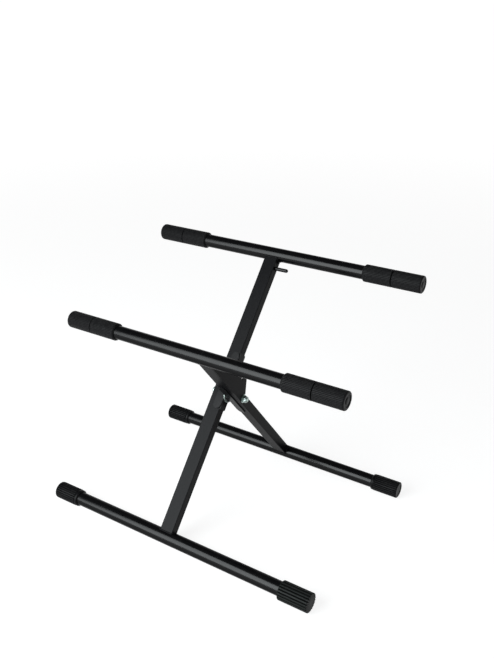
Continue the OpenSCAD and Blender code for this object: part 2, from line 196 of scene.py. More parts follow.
class StandStage(bpy.types.PropertyGroup):
    """Floor, lamps and camera."""
    floor_colour: colour_choice("Floor", "Colour of the studio floor", (0.30, 0.30, 0.30))
    camera_place: bpy.props.FloatVectorProperty(
        name="Camera place", description="Where the camera stands", subtype="TRANSLATION", unit="LENGTH",
        size=3, default=(0.80872, -1.16514, 1.06489), precision=5)
    camera_turn: bpy.props.FloatVectorProperty(
        name="Camera turn", description="Azimuth, elevation and roll of the camera", subtype="EULER",
        unit="ROTATION", size=3, default=tuple(math.radians(a) for a in (33.245, 24.948, -0.414)))
    focal_length: bpy.props.FloatProperty(
        name="Focal length", description="Lens on a 36 mm sensor, in millimetres", default=42.588,
        min=10, max=200)
    key_power: power("Key lamp", "Power of the tall soft box at the front left", 76.0)
    fill_power: power("Fill lamp", "Power of the lamp at the right", 5.0)
    lamp_colour: colour_choice("Lamp colour", "Slightly cool white of both lamps", (0.93, 0.985, 1.0))
    room_light: strength("Room light", "Strength of the room's even light", 0.13, 2)
    floor_glow: strength("Floor glow", "White added near the stand where the floor is seen or mirrored",
                         0.86, 1)
    far_glow: strength("Far glow", "White added far from the lamps, where they no longer light the floor",
                       0.97, 1)


def settings():
    """The four groups of properties: finish, rubber, steel and stage."""
    scene = bpy.context.scene
    return scene.stand_finish, scene.stand_rubber, scene.stand_steel, scene.stand_stage


# ---- small helpers for node trees ----

def feed(tree, node, **inputs):
    """Sets or links a node's inputs. Keyword names are socket names with _ for a space, or i and a number."""
    for name, value in inputs.items():
        by_place = name[0] == "i" and name[1:].isdigit()
        socket = node.inputs[int(name[1:])] if by_place else node.inputs[name.replace("_", " ")]
        if isinstance(value, bpy.types.NodeSocket):
            tree.links.new(value, socket)
        else:
            socket.default_value = value


def add(tree, kind, options=None, **inputs):
    """Adds a node with these options and inputs."""
    node = tree.nodes.new(kind)
    for name, value in (options or {}).items():
        setattr(node, name, value)
    feed(tree, node, **inputs)
    return node


def calc(tree, operation, *values, clamp=False):
    """A Math node on up to three values, and its result."""
    node = add(tree, "ShaderNodeMath", {"operation": operation, "use_clamp": clamp},
               **{f"i{i}": value for i, value in enumerate(values)})
    return node.outputs[0]


def vector(tree, operation, **inputs):
    """A Vector Math node, and its result."""
    return add(tree, "ShaderNodeVectorMath", {"operation": operation}, **inputs).outputs["Vector"]


def smooth_step(tree, value, low, high):
    """0 below low and 1 above high, with a smooth change between them."""
    node = add(tree, "ShaderNodeMapRange", {"interpolation_type": "SMOOTHSTEP"},
               Value=value, From_Min=low, From_Max=high, To_Min=0.0, To_Max=1.0)
    return node.outputs["Result"]


def new_tree(name, kind, ins, outs):
    """A node group with named sockets, and its input and output nodes."""
    tree = bpy.data.node_groups.new(name, kind)
    for label, socket_type, default in ins:
        socket = tree.interface.new_socket(label, in_out="INPUT", socket_type=socket_type)
        if default is not None:
            socket.default_value = default
    for label, socket_type in outs:
        tree.interface.new_socket(label, in_out="OUTPUT", socket_type=socket_type)
    return tree, tree.nodes.new("NodeGroupInput").outputs, tree.nodes.new("NodeGroupOutput").inputs


FLOAT, INT, VECTOR = "NodeSocketFloat", "NodeSocketInt", "NodeSocketVector"
GEOMETRY, MATERIAL = "NodeSocketGeometry", "NodeSocketMaterial"


# ---- shader groups shared by the finishes ----

def peel_group():
    """Orange peel of powder coat: height, and a soft mottle for colour and roughness."""
    tree, ins, outs = new_tree(
        "powder_coat_peel", "ShaderNodeTree",
        [("Vector", VECTOR, None), ("Grain", FLOAT, 1.6 * MM)],
        [("Height", FLOAT), ("Mottle", FLOAT), ("Speck", FLOAT)])
    per_metre = calc(tree, "DIVIDE", 1.0, ins["Grain"])
    peel = add(tree, "ShaderNodeTexNoise", Vector=ins["Vector"], Scale=per_metre, Detail=2.0, Roughness=0.45)
    broad = add(tree, "ShaderNodeTexNoise", Vector=ins["Vector"], Scale=22.0, Detail=3.0, Roughness=0.6)
    specks = add(tree, "ShaderNodeTexVoronoi", Vector=ins["Vector"], Scale=420.0)
    speck = calc(tree, "SUBTRACT", 1.0, smooth_step(tree, specks.outputs["Distance"], 0.05, 0.13))
    rare = smooth_step(tree, add(tree, "ShaderNodeTexNoise", Vector=ins["Vector"], Scale=70.0).outputs["Fac"],
                       0.60, 0.68)
    tree.links.new(peel.outputs["Fac"], outs["Height"])
    tree.links.new(broad.outputs["Fac"], outs["Mottle"])
    tree.links.new(calc(tree, "MULTIPLY", speck, rare), outs["Speck"])


def scuff_group():
    """Thin handling scratches: a mask that is 1 on a scratch."""
    tree, ins, outs = new_tree(
        "handling_scuffs", "ShaderNodeTree",
        [("Vector", VECTOR, None), ("Amount", FLOAT, 0.5)], [("Mask", FLOAT)])
    found = None
    for turn, stretch in ((0.5, (40.0, 900.0, 900.0)), (1.9, (60.0, 1100.0, 1100.0))):
        turned = add(tree, "ShaderNodeVectorRotate", {"rotation_type": "AXIS_ANGLE"},
                     Vector=ins["Vector"], Axis=(0.3, 1.0, 0.4), Angle=turn)
        scaled = vector(tree, "MULTIPLY", i0=turned.outputs[0], i1=stretch)
        lines = add(tree, "ShaderNodeTexNoise", Vector=scaled, Scale=1.0, Detail=1.0)
        mask = smooth_step(tree, lines.outputs["Fac"], 0.70, 0.76)
        found = mask if found is None else calc(tree, "MAXIMUM", found, mask)
    where = add(tree, "ShaderNodeTexNoise", Vector=ins["Vector"], Scale=16.0, Detail=2.0)
    patchy = calc(tree, "MULTIPLY", found, smooth_step(tree, where.outputs["Fac"], 0.48, 0.62))
    tree.links.new(calc(tree, "MULTIPLY", patchy, ins["Amount"], clamp=True), outs["Mask"])


def dust_group():
    """Light dust that settles on what faces up: a mask from 0 to 1."""
    tree, ins, outs = new_tree(
        "settled_dust", "ShaderNodeTree",
        [("Vector", VECTOR, None), ("Amount", FLOAT, 0.2)], [("Mask", FLOAT)])
    facing = add(tree, "ShaderNodeSeparateXYZ", Vector=add(tree, "ShaderNodeNewGeometry").outputs["Normal"])
    up = smooth_step(tree, facing.outputs["Z"], 0.15, 1.0)
    cloud = add(tree, "ShaderNodeTexNoise", Vector=ins["Vector"], Scale=90.0, Detail=4.0, Roughness=0.7)
    grains = smooth_step(tree, cloud.outputs["Fac"], 0.35, 0.75)
    mask = calc(tree, "MULTIPLY", calc(tree, "MULTIPLY", up, grains), ins["Amount"], clamp=True)
    tree.links.new(mask, outs["Mask"])


def blank_material(name):
    """A material with only its shader and output, and the Object coordinates that its patterns read."""
    material = bpy.data.materials.new(name)
    material.use_nodes = True
    tree = material.node_tree
    tree.nodes.clear()
    shader = tree.nodes.new("ShaderNodeBsdfPrincipled")
    out = tree.nodes.new("ShaderNodeOutputMaterial")
    tree.links.new(shader.outputs["BSDF"], out.inputs["Surface"])
    return tree, shader, tree.nodes.new("ShaderNodeTexCoord").outputs["Object"]


def group(tree, name, **inputs):
    """Places one of the shader groups, and gives its outputs."""
    return add(tree, "ShaderNodeGroup", {"node_tree": bpy.data.node_groups[name]}, **inputs).outputs


def blend_colour(tree, fac, below, above):
    """Colour between two colours or sockets."""
    node = add(tree, "ShaderNodeMix", {"data_type": "RGBA"}, i0=fac, i6=below, i7=above)
    return node.outputs[2]


def tint(tree, fac, colour, dark, light):
    """A colour that goes from a darker to a lighter share of itself."""
    shades = [(*(c * share for c in colour), 1.0) for share in (dark, light)]
    return blend_colour(tree, fac, *shades)


def seen_or_mirrored(tree):
    """1 on rays that come from the camera, a mirror or glass, and 0 on rays that light the object."""
    seen = tree.nodes.new("ShaderNodeLightPath").outputs
    return calc(tree, "MAXIMUM", calc(tree, "MAXIMUM", seen["Is Camera Ray"], seen["Is Glossy Ray"]),
                seen["Is Transmission Ray"])


def bump(tree, height, distance):
    """The normal of a relief of this height, in metres."""
    return add(tree, "ShaderNodeBump", Height=height, Distance=distance, Strength=1.0).outputs["Normal"]


def away_from_grazing(tree, fall):
    """1 where the surface faces the viewer, and less where it turns away, as on a rippled skin."""
    facing = add(tree, "ShaderNodeLayerWeight", Blend=0.5).outputs["Facing"]
    left = calc(tree, "SUBTRACT", 1.0, calc(tree, "MULTIPLY", facing, fall))
    return calc(tree, "MAXIMUM", left, LEAST_GLEAM)


def powder_coat(name, colour, roughness, peel_height, gleam, fall, scuffs, dust):
    """Black powder coat: orange peel, faint mottle, specks, thin scuffs and a little dust."""
    tree, shader, place = blank_material(name)
    peel = group(tree, "powder_coat_peel", Vector=place, Grain=settings()[0].peel_grain)
    scuff = group(tree, "handling_scuffs", Vector=place, Amount=scuffs)["Mask"]
    dusty = group(tree, "settled_dust", Vector=place, Amount=dust)["Mask"]
    base = tint(tree, peel["Mottle"], colour, 0.8, 1.35)
    base = blend_colour(tree, calc(tree, "MULTIPLY", scuff, 0.5), base, COAT_SCUFF)
    base = blend_colour(tree, dusty, base, COAT_DUST)
    rough = calc(tree, "MULTIPLY_ADD", peel["Mottle"], 0.10, roughness - 0.05)
    rough = calc(tree, "MULTIPLY_ADD", scuff, 0.25, rough)
    rough = calc(tree, "MULTIPLY_ADD", dusty, 0.5, rough, clamp=True)
    height = calc(tree, "MULTIPLY_ADD", peel["Speck"], 0.6, peel["Height"])
    height = calc(tree, "SUBTRACT", height, calc(tree, "MULTIPLY", scuff, 0.3))
    feed(tree, shader, Base_Color=base, Roughness=rough, Normal=bump(tree, height, peel_height),
         Specular_IOR_Level=calc(tree, "MULTIPLY", away_from_grazing(tree, fall), gleam))


def rubber(name, colour, grain_scale, dust, groove_shade_and_roughness, roughness, gleam):
    """Matt moulded rubber: fine grain, a bloom, a little dust, and grooves darkened by painted shade, by a share.
    """
    tree, shader, place = blank_material(name)
    grain = add(tree, "ShaderNodeTexNoise", Vector=place, Scale=grain_scale, Detail=3.0, Roughness=0.7)
    pits = add(tree, "ShaderNodeTexVoronoi", Vector=place, Scale=grain_scale * 0.45)
    bloom = add(tree, "ShaderNodeTexNoise", Vector=place, Scale=45.0, Detail=4.0, Roughness=0.65)
    dusty = group(tree, "settled_dust", Vector=place, Amount=dust)["Mask"]
    groove = add(tree, "ShaderNodeAttribute", {"attribute_name": "groove"}).outputs["Fac"]
    # Painted shade: the grooves' colour goes towards black by a share, and the same share dims their reflection
    groove_shade = calc(tree, "MULTIPLY", groove, groove_shade_and_roughness)
    base = tint(tree, bloom.outputs["Fac"], colour, 0.75, 1.3)
    base = blend_colour(tree, dusty, base, RUBBER_DUST)
    base = blend_colour(tree, groove_shade, base, GROOVE_PAINTED_SHADE)
    rough = calc(tree, "MULTIPLY_ADD", grain.outputs["Fac"], 0.14, roughness - 0.07)
    rough = calc(tree, "MULTIPLY_ADD", groove, 0.3 * groove_shade_and_roughness, rough)
    height = calc(tree, "MULTIPLY_ADD", pits.outputs["Distance"], 0.35, grain.outputs["Fac"])
    sheen = calc(tree, "MULTIPLY", calc(tree, "SUBTRACT", 1.0, groove_shade), gleam)
    feed(tree, shader, Base_Color=base, Roughness=calc(tree, "MULTIPLY_ADD", dusty, 0.3, rough, clamp=True),
         Normal=bump(tree, height, 0.035 * MM),
         Specular_IOR_Level=calc(tree, "MULTIPLY", sheen, away_from_grazing(tree, 0.7)))


def zinc(name, colour):
    """Bright zinc plate: metal with a crystal mottle, a faint blue and straw cast, and scuffs."""
    tree, shader, place = blank_material(name)
    crystals = add(tree, "ShaderNodeTexVoronoi", Vector=place, Scale=900.0)
    cast = add(tree, "ShaderNodeTexNoise", Vector=place, Scale=120.0, Detail=3.0)
    scuff = group(tree, "handling_scuffs", Vector=place, Amount=1.0)["Mask"]
    cool, warm = [(*(c * share for c, share in zip(colour, shares)), 1.0) for shares in ZINC_CASTS]
    base = blend_colour(tree, cast.outputs["Fac"], cool, warm)
    base = blend_colour(tree, calc(tree, "MULTIPLY", scuff, 0.4), base, ZINC_SCUFF)
    rough = calc(tree, "MULTIPLY_ADD", crystals.outputs["Distance"], 0.22, 0.20)
    rough = calc(tree, "MULTIPLY_ADD", scuff, 0.2, rough, clamp=True)
    feed(tree, shader, Base_Color=base, Roughness=rough, Metallic=1.0,
         Normal=bump(tree, crystals.outputs["Distance"], 0.03 * MM))


def nylon(name, colour):
    """Moulded nylon: slightly cloudy, with a fine grain."""
    tree, shader, place = blank_material(name)
    cloud = add(tree, "ShaderNodeTexNoise", Vector=place, Scale=260.0, Detail=3.0).outputs["Fac"]
    feed(tree, shader, Base_Color=tint(tree, cloud, colour, 0.85, 1.12), Normal=bump(tree, cloud, 0.03 * MM),
         Roughness=calc(tree, "MULTIPLY_ADD", cloud, 0.15, NYLON_ROUGHNESS - 0.07))


# ---- Geometry Nodes trees ----

def finish_tree(tree, geometry, material, out):
    """Ends a tree: real geometry with its material."""
    real = add(tree, "GeometryNodeRealizeInstances", Geometry=geometry).outputs[0]
    painted = add(tree, "GeometryNodeSetMaterial", Geometry=real, Material=material)
    tree.links.new(painted.outputs[0], out)


def ribbed_rubber_tree():
    """Turns a half section (a chain of points along X, radius in Z) round X, with ribs where Rib is 1."""
    tree, ins, outs = new_tree(
        "ribbed_rubber", "GeometryNodeTree",
        [("Section", GEOMETRY, None), ("Points", INT, 20), ("Ribs", INT, 24), ("Columns per Rib", INT, 10),
         ("Rib Depth", FLOAT, 0.9 * MM), ("Crest Share", FLOAT, CREST_SHARE),
         ("Flank Share", FLOAT, FOOT_FLANK_SHARE), ("Throw", VECTOR, None), ("Merge", FLOAT, 0.002 * MM),
         ("Material", MATERIAL, None)],
        [("Rubber", GEOMETRY)])
    columns = calc(tree, "ADD", calc(tree, "MULTIPLY", ins["Ribs"], ins["Columns per Rib"]), 1.0)
    grid = add(tree, "GeometryNodeMeshGrid", Size_X=1.0, Size_Y=1.0, Vertices_X=ins["Points"],
               Vertices_Y=columns)
    index = add(tree, "GeometryNodeInputIndex").outputs[0]
    row = calc(tree, "FLOOR", calc(tree, "DIVIDE", calc(tree, "ADD", index, 0.5), columns))
    column = calc(tree, "SUBTRACT", index, calc(tree, "MULTIPLY", row, columns))

    def section(kind, value):
        """A value of the section's point that belongs to this row of the grid."""
        return add(tree, "GeometryNodeSampleIndex", {"data_type": kind},
                   Geometry=ins["Section"], Value=value, Index=row).outputs[0]

    def stored(name):
        """A share that is stored on the section's points."""
        node = add(tree, "GeometryNodeInputNamedAttribute", {"data_type": "FLOAT"}, Name=name)
        return section("FLOAT", node.outputs[0])

    point = add(tree, "ShaderNodeSeparateXYZ",
                Vector=section("FLOAT_VECTOR", add(tree, "GeometryNodeInputPosition").outputs[0]))
    turns = calc(tree, "DIVIDE", column, calc(tree, "SUBTRACT", columns, 1.0))
    rib = calc(tree, "FRACT", calc(tree, "ADD", calc(tree, "MULTIPLY", turns, ins["Ribs"]), 0.5))
    phase = calc(tree, "ABSOLUTE", calc(tree, "SUBTRACT", rib, 0.5))
    crest = calc(tree, "MULTIPLY", ins["Crest Share"], 0.5)
    groove = smooth_step(tree, phase, crest, calc(tree, "ADD", crest, ins["Flank Share"]))
    cut = calc(tree, "MULTIPLY", calc(tree, "MULTIPLY", groove, ins["Rib Depth"]), stored("rib"))
    radius = calc(tree, "SUBTRACT", point.outputs["Z"], cut)
    angle = calc(tree, "MULTIPLY", turns, 2 * math.pi)
    across = calc(tree, "MULTIPLY", radius, calc(tree, "SINE", angle))
    height = calc(tree, "MULTIPLY", calc(tree, "MULTIPLY", radius, calc(tree, "COSINE", angle)), -1.0)
    turned = add(tree, "ShaderNodeCombineXYZ", X=point.outputs["X"], Y=across, Z=height).outputs[0]
    thrown = vector(tree, "SCALE", Vector=ins["Throw"], Scale=stored("outside"))
    shaped = add(tree, "GeometryNodeSetPosition", Geometry=grid.outputs["Mesh"],
                 Position=vector(tree, "ADD", i0=turned, i1=thrown))
    # The stored groove mask also carries the rubber material's painted shade in the grooves
    kept = add(tree, "GeometryNodeStoreNamedAttribute", {"data_type": "FLOAT", "domain": "POINT"},
               Geometry=shaped.outputs[0], Name="groove", Value=calc(tree, "MULTIPLY", groove, stored("rib")))
    merged = add(tree, "GeometryNodeMergeByDistance", Geometry=kept.outputs[0], Distance=ins["Merge"])
    finish_tree(tree, merged.outputs[0], ins["Material"], outs["Rubber"])


def weld_bead_tree():
    """Lays a rippled bead along every chain of edges."""
    tree, ins, outs = new_tree(
        "weld_bead", "GeometryNodeTree",
        [("Seams", GEOMETRY, None), ("Width", FLOAT, 3.2 * MM), ("Ripple Pitch", FLOAT, 1.5 * MM),
         ("Ripple Share", FLOAT, 0.16), ("Wander", FLOAT, 0.25 * MM), ("Seed", FLOAT, 4.0),
         ("Material", MATERIAL, None)],
        [("Beads", GEOMETRY)])
    seam = add(tree, "GeometryNodeMeshToCurve", Mesh=ins["Seams"]).outputs[0]
    step = calc(tree, "DIVIDE", ins["Ripple Pitch"], 5.0)
    fine = add(tree, "GeometryNodeResampleCurve", {"mode": "LENGTH"}, Curve=seam, Length=step).outputs[0]
    run = add(tree, "GeometryNodeSplineParameter").outputs["Length"]
    wave = calc(tree, "FRACT", calc(tree, "DIVIDE", run, ins["Ripple Pitch"]))
    dip = calc(tree, "MULTIPLY", calc(tree, "POWER", wave, 3.0), ins["Ripple Share"])
    uneven = add(tree, "ShaderNodeTexNoise", {"noise_dimensions": "4D"}, Scale=130.0, Detail=1.0,
                 W=ins["Seed"])
    swell = calc(tree, "MULTIPLY_ADD", uneven.outputs["Fac"], 0.3, 0.85)
    profile = add(tree, "GeometryNodeCurvePrimitiveCircle", Resolution=10,
                  Radius=calc(tree, "DIVIDE", ins["Width"], 2.0)).outputs[0]
    bead = add(tree, "GeometryNodeCurveToMesh", Curve=fine, Profile_Curve=profile,
               Scale=calc(tree, "SUBTRACT", swell, dip), Fill_Caps=True).outputs[0]
    drift = add(tree, "ShaderNodeTexNoise", {"noise_dimensions": "4D"}, Scale=210.0, W=ins["Seed"])
    drift = vector(tree, "SUBTRACT", i0=drift.outputs["Color"], i1=(0.5, 0.5, 0.5))
    moved = add(tree, "GeometryNodeSetPosition", Geometry=bead,
                Offset=vector(tree, "SCALE", Vector=drift, Scale=ins["Wander"]))
    finish_tree(tree, moved.outputs[0], ins["Material"], outs["Beads"])


def screw_thread_tree():
    """A helical ridge round X, from Start to End."""
    tree, ins, outs = new_tree(
        "screw_thread", "GeometryNodeTree",
        [("Unused", GEOMETRY, None), ("Radius", FLOAT, 3.75 * MM), ("Pitch", FLOAT, 1.25 * MM),
         ("Length", FLOAT, 1.6 * MM), ("Ridge", FLOAT, 0.32 * MM), ("Start", VECTOR, None),
         ("Material", MATERIAL, None)],
        [("Thread", GEOMETRY)])
    spiral = add(tree, "GeometryNodeCurveSpiral", Resolution=48,
                 Rotations=calc(tree, "DIVIDE", ins["Length"], ins["Pitch"]),
                 Start_Radius=ins["Radius"], End_Radius=ins["Radius"], Height=ins["Length"]).outputs[0]
    profile = add(tree, "GeometryNodeCurvePrimitiveCircle", Resolution=6, Radius=ins["Ridge"]).outputs[0]
    ridge = add(tree, "GeometryNodeCurveToMesh", Curve=spiral, Profile_Curve=profile, Fill_Caps=True)
    laid = add(tree, "GeometryNodeTransform", Geometry=ridge.outputs[0], Translation=ins["Start"],
               Rotation=(0.0, math.pi / 2, 0.0))
    finish_tree(tree, laid.outputs[0], ins["Material"], outs["Thread"])


def new_object(name, data):
    """An object at the origin, linked to the scene."""
    piece = bpy.data.objects.new(name, data)
    bpy.context.scene.collection.objects.link(piece)
    return piece


def make_plain(piece):
    """Swaps a piece's mesh for what its modifiers make of it, and removes them."""
    bpy.context.view_layer.update()
    plain = bpy.data.meshes.new_from_object(piece.evaluated_get(bpy.context.evaluated_depsgraph_get()))
    if not plain.polygons:
        raise RuntimeError(f"nothing was made for {piece.name}")
    piece.modifiers.clear()
    piece.data = plain
    plain.name = piece.name


def grow(name, mesh, tree_name, material, **values):
    """Runs a Geometry Nodes tree on a mesh, and returns an object with the plain mesh that comes out."""
    piece = new_object(name, mesh)
    modifier = piece.modifiers.new("shape", "NODES")
    modifier.node_group = bpy.data.node_groups[tree_name]
    sockets = {item.name: item.identifier for item in modifier.node_group.interface.items_tree
               if item.item_type == "SOCKET" and item.in_out == "INPUT"}
    modifier[sockets["Material"]] = bpy.data.materials[material]
    for label, value in values.items():
        modifier[sockets[label.replace("_", " ")]] = value
    make_plain(piece)
    return piece


@contextlib.contextmanager
def editing(source, result):
    """A mesh opened for editing, and written to the result at the end."""
    mesh = bmesh.new()
    mesh.from_mesh(source)
    yield mesh
    mesh.to_mesh(result)
    mesh.free()


def tidy_normals(piece, sharp_angle):
    """Points the faces outwards and shades smoothly, apart from edges sharper than the angle."""
    with editing(piece.data, piece.data) as mesh:
        bmesh.ops.recalc_face_normals(mesh, faces=mesh.faces)
    piece.data.polygons.foreach_set("use_smooth", [True] * len(piece.data.polygons))
    piece.data.set_sharp_from_angle(angle=math.radians(sharp_angle))


# ---- rubber ----

# A half section is a chain of points (x, radius, rib, outside). It runs from the bore's end outwards and
# round to the far end. Rib is the share of the ribs' depth, and outside is 1 on what is not in the bore.

def closed_section(length, radius, bore, wall, opening, rounding, face=(), sunk=0.0, fade=0.75):
    """Half section of a closed cap, round to the middle of its end face."""
    points = [(length - wall, 0, 0, 0), (length - wall, bore, 0, 0), (0.0, bore, 0, 0), *opening]
    return points + far_round(length, radius, rounding, fade) + [*face, (length - sunk, 0, 0, 1)]


def recess(length, outer, depth):
    """The edge of a round recess in a cap's end face."""
    return [(length, outer + FACE_EDGE, 0, 1), (length - FACE_EDGE * 0.4, outer, 0, 1),
            (length - depth, outer - FACE_EDGE, 0, 1)]


def boss(length, radius, depth):
    """The edge of a flat boss that stands in such a recess."""
    return [(length - depth, radius + FACE_EDGE, 0, 1), (length - FACE_EDGE * 0.4, radius, 0, 1),
            (length, radius - FACE_EDGE, 0, 1)]


def collar_end(radius, chamfer, rib_depth, width, groove, depth):
    """An open end with a smooth collar, and a groove between it and the ribs."""
    lip = LIP
    smooth, floor = radius - rib_depth / 2, radius - depth
    shoulder = chamfer - rib_depth / 2
    return [(0.0, radius - chamfer - lip, 0, 1), (lip * 0.4, radius - chamfer, 0, 1),
            (shoulder - lip, smooth - lip, 0, 1), (shoulder + lip * 0.5, smooth, 0, 1),
            (width - lip, smooth, 0, 1), (width - lip * 0.3, smooth - lip * 0.3, 0, 1),
            (width, floor, 0, 1), (width + groove, floor, 0, 1),
            (width + groove + lip * 0.3, radius - lip * 0.4, 0.7, 1), (width + groove + lip, radius, 1, 1)]


def sleeve_section(length, radius, bore, chamfer, rounding):
    """Half section of an open sleeve, all the way round."""
    points = [(0.0, bore, 0, 0)] + open_end(radius, chamfer) + far_round(length, radius, rounding)
    return points + [(length, bore, 0, 0), (0.0, bore, 0, 0)]


def open_end(radius, chamfer):
    """The open end's face, its slope and the start of the ribs."""
    lip = LIP
    return [(0.0, radius - chamfer - lip, 0, 1), (lip * 0.4, radius - chamfer, 0, 1),
            (chamfer - lip, radius - lip, 0.55, 1), (chamfer, radius - lip * 0.3, 0.8, 1),
            (chamfer + lip, radius, 1, 1), (chamfer + 4 * lip, radius, 1, 1)]


def far_round(length, radius, rounding, fade=0.75):
    """The rounded far edge. The ribs fade into the end face by a share, and run right through it at 0."""
    steps = 7
    points = [(length - rounding * 1.6, radius, 1, 1)]
    for i in range(steps + 1):
        turn = math.pi / 2 * i / steps
        points.append((length - rounding + rounding * math.sin(turn),
                       radius - rounding + rounding * math.cos(turn), 1 - fade * i / steps, 1))
    return points


def bore_of(tube):
    """Radius of the bore that takes a tube."""
    return half_depth(tube) + BORE_ROOM


def rubber_piece(node, tube, section, ribs, depth, finish, flank, throw=(0.0, 0.0, 0.0)):
    """A ribbed cap or sleeve in the place of a CAD node, on the axis of its tube."""
    low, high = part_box(node)
    right = middle(node).x > 0
    mesh = bpy.data.meshes.new(node)
    mesh.from_pydata([(low.x + x if right else high.x - x, 0, r) for x, r, _, _ in section],
                     [(i, i + 1) for i in range(len(section) - 1)], [])
    for label, column in (("rib", 2), ("outside", 3)):
        stored = mesh.attributes.new(label, "FLOAT", "POINT")
        stored.data.foreach_set("value", [float(point[column]) for point in section])
    piece = grow("dressed_" + node, mesh, "ribbed_rubber", finish, Points=len(section), Ribs=ribs,
                 Rib_Depth=depth, Crest_Share=CREST_SHARE, Flank_Share=flank, Throw=throw)
    axis = middle(tube)
    piece.data.transform(Matrix.Translation((0, axis.y, axis.z)))
    tidy_normals(piece, 50)
    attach(piece, BODY_OF[node])
    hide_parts(node)


# ---- steel ----

def softened(node, width, finish):
    """A stamped or turned CAD node again, with its flat faces joined and its edges slightly rounded."""
    piece = new_object("dressed_" + node, bpy.data.meshes.new("dressed_" + node))
    with editing(frame["nodes"][node].data, piece.data) as mesh:
        bmesh.ops.remove_doubles(mesh, verts=mesh.verts, dist=JOIN)
        bmesh.ops.dissolve_limit(mesh, angle_limit=math.radians(FLAT_ANGLE), verts=mesh.verts,
                                 edges=mesh.edges)
    edges = piece.modifiers.new("edges", "BEVEL")
    edges.width, edges.segments, edges.limit_method = width, 2, "ANGLE"
    edges.angle_limit = math.radians(EDGE_ANGLE)
    edges.harden_normals = False
    weights = piece.modifiers.new("flat faces", "WEIGHTED_NORMAL")
    weights.keep_sharp = True
    piece.data.polygons.foreach_set("use_smooth", [True] * len(piece.data.polygons))
    make_plain(piece)
    with editing(piece.data, piece.data) as mesh:
        bmesh.ops.dissolve_degenerate(mesh, dist=SLIVER, edges=mesh.edges)
    paint(piece, finish)
    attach(piece, BODY_OF[node])
    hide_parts(node)


def paint(piece, finish):
    """Gives a piece a finish as its only material."""
    piece.data.materials.clear()
    piece.data.materials.append(bpy.data.materials[finish])


def leg_direction(foot_tube, top_tube):
    """Unit vector up a leg, between the axes of its two cross tubes, in the side view."""
    way = middle(top_tube) - middle(foot_tube)
    way.x = 0
    return way.normalized()


def cope_seam(leg, tube, up, stand_off):
    """Closed chain of points where a leg meets a round tube, and so far outside both."""
    low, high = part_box(leg)
    centre_x, half_w = (low.x + high.x) / 2, (high.x - low.x) / 2 + stand_off
    across = Vector((0, -up.z, up.y))
    radius = half_depth(tube) + stand_off
    half_d = LEG_DEPTH / 2 + stand_off
    outline = []
    for sx, sy, start in ((1, 1, 0), (-1, 1, 90), (-1, -1, 180), (1, -1, 270)):
        for i in range(7):
            a = math.radians(start + 15 * i)
            outline.append((sx * (half_w - LEG_CORNER) + LEG_CORNER * math.cos(a),
                            sy * (half_d - LEG_CORNER) + LEG_CORNER * math.sin(a)))
    dense = []
    for (x0, y0), (x1, y1) in zip(outline, outline[1:] + outline[:1]):
        parts = max(1, int(math.hypot(x1 - x0, y1 - y0) / MM))
        dense += [(x0 + (x1 - x0) * t / parts, y0 + (y1 - y0) * t / parts) for t in range(parts)]
    axis = middle(tube)
    return [Vector((centre_x + x, axis.y, axis.z)) + across * y + up * math.sqrt(radius ** 2 - y ** 2)
            for x, y in dense]


def seams_mesh(name, chains):
    """One mesh of edges from closed chains of points."""
    verts, edges = [], []
    for points in chains:
        first = len(verts)
        verts += [tuple(p) for p in points]
        edges += [(first + i, first + i + 1) for i in range(len(points) - 1)]
        edges.append((first + len(points) - 1, first))
    mesh = bpy.data.meshes.new(name)
    mesh.from_pydata(verts, edges, [])
    return mesh


# ---- operators ----

class STAND_OT_finishes(bpy.types.Operator):
    """Makes every finish of the stand"""
    bl_idname = "stand.finishes"
    bl_label = "Make the finishes"

    def execute(self, context):
        finish = settings()[0]
        peel_group()
        scuff_group()
        dust_group()
        powder_coat("gloss_black_coat", finish.tube_colour, roughness=0.20, peel_height=0.013 * MM,
                    gleam=0.275, fall=1.9, scuffs=0.35, dust=0.01)
        powder_coat("satin_black_coat", finish.leg_colour, roughness=0.34, peel_height=0.03 * MM,
                    gleam=0.105, fall=1.15, scuffs=0.4, dust=0.01)
        powder_coat("plate_black_coat", finish.leg_colour, roughness=0.30, peel_height=0.03 * MM,
                    gleam=0.14, fall=1.0, scuffs=0.5, dust=0.01)
        # Each rubber's groove share sets how far painted shade darkens its grooves, and how much rougher they are
        rubber("foot_rubber", finish.rubber_colour, grain_scale=1500.0, dust=0.08, groove_shade_and_roughness=0.85,
               roughness=0.33, gleam=0.105)
        rubber("grip_rubber", finish.rubber_colour, grain_scale=1500.0, dust=0.08, groove_shade_and_roughness=0.45,
               roughness=0.35, gleam=0.125)
        rubber("levelling_rubber", finish.levelling_colour, grain_scale=1300.0, dust=0.08,
               groove_shade_and_roughness=0.90, roughness=0.40, gleam=0.13)
        zinc("bright_zinc", finish.zinc_colour)
        nylon("natural_nylon", NATURAL_NYLON)
        nylon("black_nylon", BLACK_NYLON)
        return {"FINISHED"}


class STAND_OT_tubes(bpy.types.Operator):
    """Coats the four round tubes, the two legs and what stays hidden inside them"""
    bl_idname = "stand.tubes"
    bl_label = "Coat tubes and legs"

    def execute(self, context):
        for finish, nodes in (
                ("gloss_black_coat", ("front_foot_tube", "backrest_tube", "rear_foot_tube",
                                      "support_bar_tube", "cable_peg")),
                ("satin_black_coat", ("post", "brace")),
                ("bright_zinc", ("post_crush_sleeve", "brace_crush_sleeve"))):
            for node in nodes:
                paint(frame["nodes"][node], finish)
        return {"FINISHED"}


class STAND_OT_plates(bpy.types.Operator):
    """Makes the stamped plates with softly rounded edges"""
    bl_idname = "stand.plates"
    bl_label = "Stamped plates"

    def execute(self, context):
        steel = settings()[2]
        for node in ("post_hinge_plate", "brace_hinge_plate", "side_gusset", "post_corner_web"):
            coat = "plate_black_coat" if node.endswith("hinge_plate") else "satin_black_coat"
            softened(node, steel.edge_round, coat)
        return {"FINISHED"}


